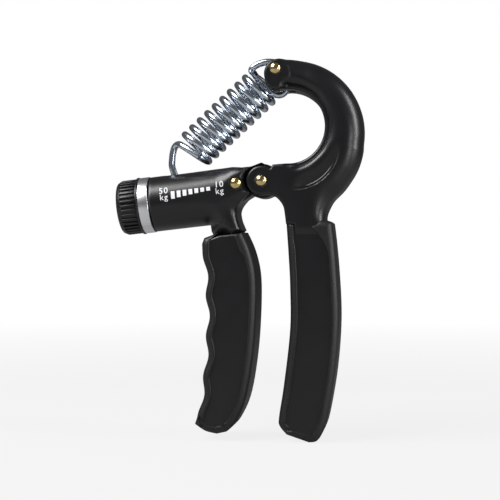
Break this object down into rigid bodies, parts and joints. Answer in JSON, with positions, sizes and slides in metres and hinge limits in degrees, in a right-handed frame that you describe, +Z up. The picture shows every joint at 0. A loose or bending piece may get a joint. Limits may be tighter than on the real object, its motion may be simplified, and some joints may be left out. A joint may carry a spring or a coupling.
{
  "type": "hand grip strengthener",
  "caption": "Hand grip strengthener: two handles on a rivet pivot, an extension spring between a curved arm and a barrel, and a ribbed knob that moves the spring hook to set the load.",
  "frame": {"origin": "under the middle of the whole part, at the lowest handle end, on the middle plane of its depth", "axes": "+Z up from the handle ends to the curved arm, +X from the knob towards the palm handle, +Y through the depth, away from the printed scale"},
  "size_m": [0.1104, 0.0264, 0.1687],
  "materials": {
    "frame_plastic": "satin moulded",
    "soft_grip": "fine matt",
    "rivet_brass": "domed, polished",
    "bright_metal": "turned, bright",
    "steel": "plain",
    "spring_wire": "zinc plated",
    "knob_plastic": "satin moulded",
    "print_white": "printed"
  },
  "bodies": {
    "arm": {"arm_frame": "frame_plastic", "palm_grip": "soft_grip", "pivot_rivet": "rivet_brass", "spring_rivet": "rivet_brass"},
    "lever": {"lever_frame": "frame_plastic", "finger_grip": "soft_grip", "pivot_bush": "steel", "barrel_rivet": "rivet_brass", "end_ring": "bright_metal", "bearing_block": "steel", "scale_bars": "print_white", "pivot_washers": "steel", "thrust_washer": "steel"},
    "knob": {"knob": "knob_plastic", "knob_flange": "knob_plastic", "knob_cap": "knob_plastic", "knob_bolt": "steel", "screw": "steel", "screw_clip": "steel"},
    "slider": {"slider": "steel", "hook_pin": "steel"},
    "spring_top": {"spring_coil": "spring_wire"},
    "spring_bottom": {"spring_hook": "spring_wire"}
  },
  "joints": [
    {"name": "squeeze", "type": "hinge", "parent": "arm", "child": "lever", "pos_m": [0.01064, 0, 0.114], "axis": [0, -1, 0], "range_deg": [-25, 8], "stiffness_Nm_per_rad": 8, "springref_deg": -25, "deforming": ["spring_coil", "spring_hook"]},
    {"name": "knob_turn", "type": "hinge", "parent": "lever", "child": "knob", "pos_m": [-0.03946, 0, 0.1041], "axis": [0.9936, 0, 0.1132], "range_deg": [-1, 3400]},
    {"name": "slider_travel", "type": "slide", "parent": "lever", "child": "slider", "axis": [0.9936, 0, 0.1132], "range_m": [0, 0.014]},
    {"name": "spring_swing", "type": "hinge", "parent": "arm", "child": "spring_top", "pos_m": [0.01684, 0, 0.1628], "axis": [0, -1, 0], "range_deg": [-9.5, 3.5]},
    {"name": "spring_stretch", "type": "slide", "parent": "spring_top", "child": "spring_bottom", "axis": [-0.6529, 0, -0.7574], "range_m": [-0.0133, 0.0043]}
  ],
  "couplings": [
    {"joint": "knob_turn", "follows": "slider_travel", "rad_per_m": 4188.8},
    {"joint": "spring_swing", "follows": "squeeze", "ratio": 0.3593},
    {"joint": "spring_stretch", "follows": "squeeze", "m_per_rad": 0.0298}
  ]
}
